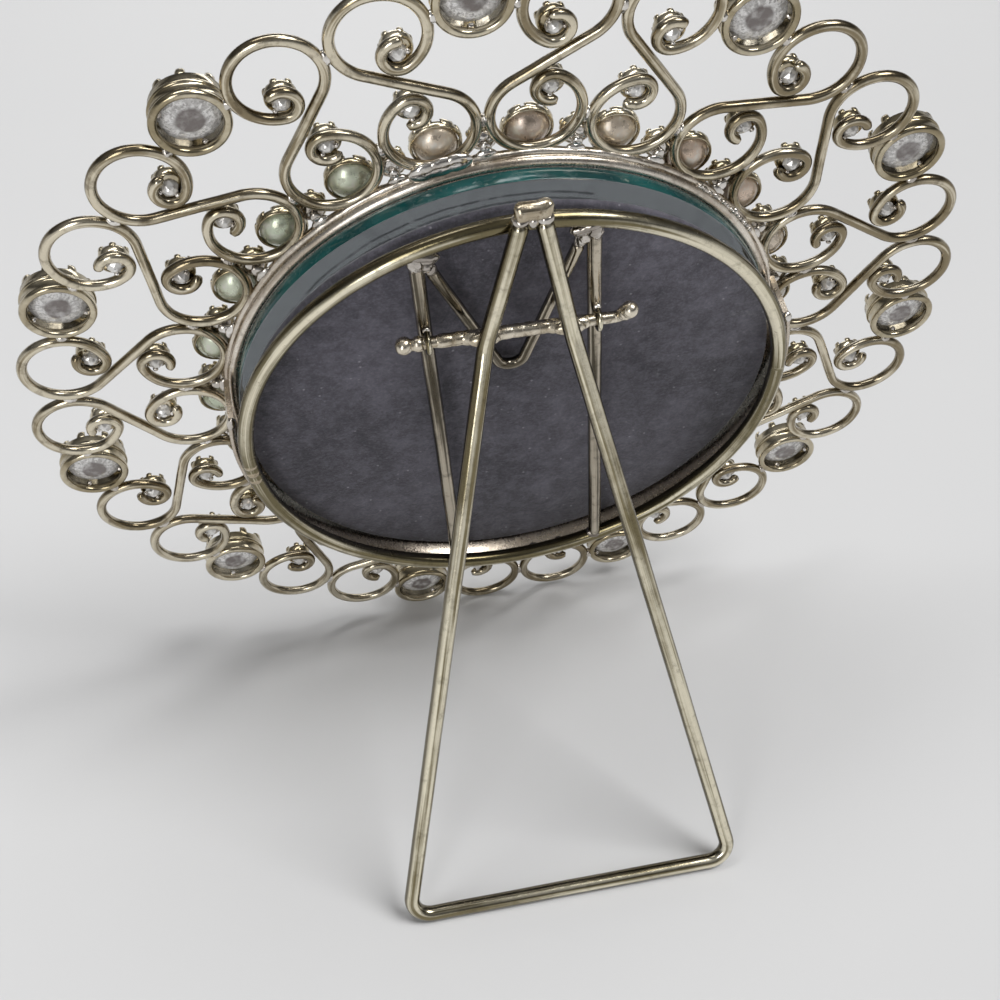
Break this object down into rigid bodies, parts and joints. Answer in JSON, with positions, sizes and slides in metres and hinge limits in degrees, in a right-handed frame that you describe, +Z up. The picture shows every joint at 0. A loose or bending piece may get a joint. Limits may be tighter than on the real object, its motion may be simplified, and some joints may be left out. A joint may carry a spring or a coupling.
{
  "type": "photo frame",
  "caption": "Round table-top photo frame of soldered wire scrolls set with stones, with a glass and board pocket and a hinged wire easel leg behind.",
  "frame": {"origin": "on the table under the lowest outer loop, in the middle plane of the leg", "axes": "+Z up, the picture faces -Y, the leg stands out towards +Y, X along the pivot bar"},
  "size_m": [0.1475, 0.0746, 0.1451],
  "materials": {
    "scroll_wire": "polished champagne plating",
    "cup_metal": "polished champagne plating",
    "ring_metal": "polished champagne plating with solder marks",
    "back_wire": "polished pale brass with braze marks",
    "clear_stone": "faceted clear",
    "coloured_stone": "pale green, beige and peach with foiled domed backs",
    "pane": "clear with a green-blue edge",
    "flock": "black flock"
  },
  "bodies": {
    "frame": {"backing_spring": "back_wire", "curl_cups": "cup_metal", "curl_stones": "clear_stone", "eye_left": "back_wire", "eye_right": "back_wire", "front_ring": "ring_metal", "gap_cups": "cup_metal", "gap_stones": "clear_stone", "large_stones": "clear_stone", "pocket_wall": "ring_metal", "rear_hoop": "back_wire", "ring_cups": "cup_metal", "ring_stones": "coloured_stone", "scroll_01": "scroll_wire", "scroll_02": "scroll_wire", "scroll_03": "scroll_wire", "scroll_04": "scroll_wire", "scroll_05": "scroll_wire", "scroll_06": "scroll_wire", "scroll_07": "scroll_wire", "scroll_08": "scroll_wire", "scroll_09": "scroll_wire", "scroll_10": "scroll_wire", "scroll_11": "scroll_wire", "scroll_12": "scroll_wire", "scroll_13": "scroll_wire", "scroll_14": "scroll_wire", "scroll_15": "scroll_wire", "scroll_16": "scroll_wire", "scroll_17": "scroll_wire", "scroll_18": "scroll_wire", "scroll_19": "scroll_wire", "scroll_20": "scroll_wire", "scroll_21": "scroll_wire", "scroll_22": "scroll_wire", "stone_cup_01": "cup_metal", "stone_cup_02": "cup_metal", "stone_cup_03": "cup_metal", "stone_cup_04": "cup_metal", "stone_cup_05": "cup_metal", "stone_cup_06": "cup_metal", "stone_cup_07": "cup_metal", "stone_cup_08": "cup_metal", "stone_cup_09": "cup_metal", "stone_cup_10": "cup_metal", "stone_cup_11": "cup_metal", "strut_left": "back_wire", "strut_right": "back_wire"},
    "leg": {"easel_leg": "back_wire", "pivot_bar": "back_wire", "leg_cap": "back_wire"},
    "board": {"backing_board": "flock"},
    "pane": {"glass": "pane"}
  },
  "joints": [
    {"name": "leg_fold", "type": "hinge", "parent": "frame", "child": "leg", "pos_m": [0, 0.03287, 0.09145], "axis": [-1, 0, 0], "range_deg": [0, 32]},
    {"name": "board_lift", "type": "slide", "parent": "frame", "child": "board", "axis": [0.0785, 0.2012, 0.9764], "range_m": [0, 0.04]},
    {"name": "glass_lift", "type": "slide", "parent": "frame", "child": "pane", "axis": [0.0785, 0.2012, 0.9764], "range_m": [0, 0.04]}
  ]
}
